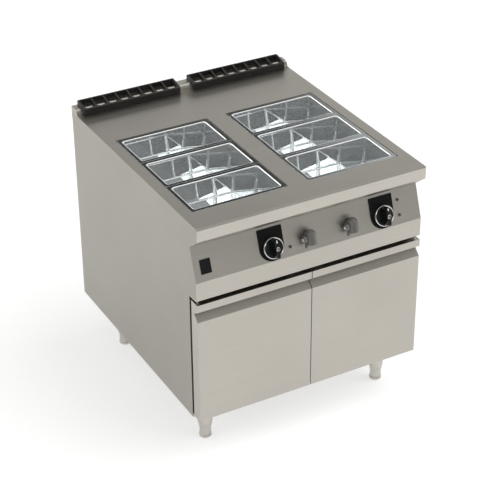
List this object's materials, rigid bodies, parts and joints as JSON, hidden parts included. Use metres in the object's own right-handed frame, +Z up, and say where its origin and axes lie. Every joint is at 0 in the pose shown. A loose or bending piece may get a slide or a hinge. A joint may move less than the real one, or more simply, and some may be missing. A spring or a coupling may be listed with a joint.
{
  "type": "bain-marie",
  "caption": "Free-standing electric bain-marie: water wells with lift-out pans in a steel hob, sloped control panel, cupboard with hinged doors and rear vent grilles.",
  "frame": {"origin": "on the floor, under the middle of the bounding box", "axes": "+Z up, +Y from the control panel to the back, +X to the right of someone facing the doors"},
  "size_m": [0.8, 0.9218, 0.886],
  "materials": {
    "stainless_steel": "satin stainless sheet",
    "pan_steel": "bright drawn stainless",
    "bright_steel": "turned steel",
    "chrome": "polished chrome plate",
    "tap_metal": "satin plated brass",
    "enamelled_iron": "matt black enamel on cast iron",
    "black_plastic": "moulded black plastic",
    "grey_plastic": "moulded grey plastic",
    "lamp_lens": "dark tinted lens",
    "brass": "turned brass",
    "copper_pipe": "drawn copper tube",
    "element_sheath": "heat-darkened sheath"
  },
  "bodies": {
    "cabinet": {"side_panel_left": "stainless_steel", "side_panel_right": "stainless_steel", "hob_top": "stainless_steel", "vent_ledge": "stainless_steel", "control_panel": "stainless_steel", "lower_rail": "stainless_steel", "base_panel": "stainless_steel", "rear_panel": "stainless_steel", "cupboard_ceiling": "stainless_steel", "well_left": "stainless_steel", "well_right": "stainless_steel", "cross_bars": "stainless_steel", "leg_sleeves": "stainless_steel", "hinge_brackets": "stainless_steel", "knob_bezel_left": "black_plastic", "thermostat_left": "grey_plastic", "tap_body_left": "tap_metal", "drain_left": "brass", "heating_element_left": "element_sheath", "fill_pipe_left": "copper_pipe", "knob_bezel_right": "black_plastic", "thermostat_right": "grey_plastic", "tap_body_right": "tap_metal", "drain_right": "brass", "heating_element_right": "element_sheath", "fill_pipe_right": "copper_pipe", "indicator_lamps": "lamp_lens", "door_catches": "grey_plastic", "terminal_box": "grey_plastic", "cable_gland": "black_plastic", "water_supply_pipe": "copper_pipe", "water_inlet": "brass"},
    "left_door": {"door_left": "stainless_steel", "door_liner_left": "stainless_steel"},
    "right_door": {"door_right": "stainless_steel", "door_liner_right": "stainless_steel"},
    "left_knob": {"knob_left": "black_plastic", "knob_skirt_left": "chrome", "knob_cap_left": "chrome", "spindle_left": "bright_steel"},
    "right_knob": {"knob_right": "black_plastic", "knob_skirt_right": "chrome", "knob_cap_right": "chrome", "spindle_right": "bright_steel"},
    "left_tap_lever": {"tap_lever_left": "chrome"},
    "right_tap_lever": {"tap_lever_right": "chrome"},
    "left_drain_lever": {"drain_lever_left": "bright_steel"},
    "right_drain_lever": {"drain_lever_right": "bright_steel"},
    "left_rear_pan": {"pan_left_rear": "pan_steel"},
    "left_middle_pan": {"pan_left_middle": "pan_steel"},
    "left_front_pan": {"pan_left_front": "pan_steel"},
    "right_rear_pan": {"pan_right_rear": "pan_steel"},
    "right_middle_pan": {"pan_right_middle": "pan_steel"},
    "right_front_pan": {"pan_right_front": "pan_steel"},
    "left_grille": {"vent_grille_left": "enamelled_iron"},
    "right_grille": {"vent_grille_right": "enamelled_iron"},
    "front_left_foot": {"foot_front_left": "stainless_steel"},
    "front_right_foot": {"foot_front_right": "stainless_steel"},
    "rear_left_foot": {"foot_rear_left": "stainless_steel"},
    "rear_right_foot": {"foot_rear_right": "stainless_steel"}
  },
  "joints": [
    {"name": "left_door_hinge", "type": "hinge", "parent": "cabinet", "child": "left_door", "pos_m": [-0.387, -0.40863, 0.3698], "axis": [0, 0, -1], "range_deg": [0, 105]},
    {"name": "right_door_hinge", "type": "hinge", "parent": "cabinet", "child": "right_door", "pos_m": [0.387, -0.40863, 0.3698], "axis": [0, 0, 1], "range_deg": [0, 105]},
    {"name": "left_knob_turn", "type": "hinge", "parent": "cabinet", "child": "left_knob", "pos_m": [-0.1345, -0.41144, 0.70153], "axis": [0, 0.9428, -0.3333], "range_deg": [0, 270]},
    {"name": "right_knob_turn", "type": "hinge", "parent": "cabinet", "child": "right_knob", "pos_m": [0.262, -0.41144, 0.70153], "axis": [0, 0.9428, -0.3333], "range_deg": [0, 270]},
    {"name": "left_tap_turn", "type": "hinge", "parent": "cabinet", "child": "left_tap_lever", "pos_m": [-0.0245, -0.42954, 0.70735], "axis": [-1, 0, 0], "range_deg": [0, 90]},
    {"name": "right_tap_turn", "type": "hinge", "parent": "cabinet", "child": "right_tap_lever", "pos_m": [0.1255, -0.42954, 0.70735], "axis": [-1, 0, 0], "range_deg": [0, 90]},
    {"name": "left_drain_turn", "type": "hinge", "parent": "cabinet", "child": "left_drain_lever", "pos_m": [-0.199, -0.28163, 0.4908], "axis": [0, -1, 0], "range_deg": [0, 90]},
    {"name": "right_drain_turn", "type": "hinge", "parent": "cabinet", "child": "right_drain_lever", "pos_m": [0.199, -0.28163, 0.4908], "axis": [0, 1, 0], "range_deg": [0, 90]},
    {"name": "left_rear_pan_lift", "type": "slide", "parent": "cabinet", "child": "left_rear_pan", "axis": [0, 0, 1], "range_m": [0, 0.2]},
    {"name": "left_middle_pan_lift", "type": "slide", "parent": "cabinet", "child": "left_middle_pan", "axis": [0, 0, 1], "range_m": [0, 0.2]},
    {"name": "left_front_pan_lift", "type": "slide", "parent": "cabinet", "child": "left_front_pan", "axis": [0, 0, 1], "range_m": [0, 0.2]},
    {"name": "right_rear_pan_lift", "type": "slide", "parent": "cabinet", "child": "right_rear_pan", "axis": [0, 0, 1], "range_m": [0, 0.2]},
    {"name": "right_middle_pan_lift", "type": "slide", "parent": "cabinet", "child": "right_middle_pan", "axis": [0, 0, 1], "range_m": [0, 0.2]},
    {"name": "right_front_pan_lift", "type": "slide", "parent": "cabinet", "child": "right_front_pan", "axis": [0, 0, 1], "range_m": [0, 0.2]},
    {"name": "left_grille_lift", "type": "slide", "parent": "cabinet", "child": "left_grille", "axis": [0, 0, 1], "range_m": [0, 0.08]},
    {"name": "right_grille_lift", "type": "slide", "parent": "cabinet", "child": "right_grille", "axis": [0, 0, 1], "range_m": [0, 0.08]},
    {"name": "front_left_foot_screw", "type": "slide", "parent": "cabinet", "child": "front_left_foot", "axis": [0, 0, -1], "range_m": [0, 0.03]},
    {"name": "front_right_foot_screw", "type": "slide", "parent": "cabinet", "child": "front_right_foot", "axis": [0, 0, -1], "range_m": [0, 0.03]},
    {"name": "rear_left_foot_screw", "type": "slide", "parent": "cabinet", "child": "rear_left_foot", "axis": [0, 0, -1], "range_m": [0, 0.03]},
    {"name": "rear_right_foot_screw", "type": "slide", "parent": "cabinet", "child": "rear_right_foot", "axis": [0, 0, -1], "range_m": [0, 0.03]}
  ]
}
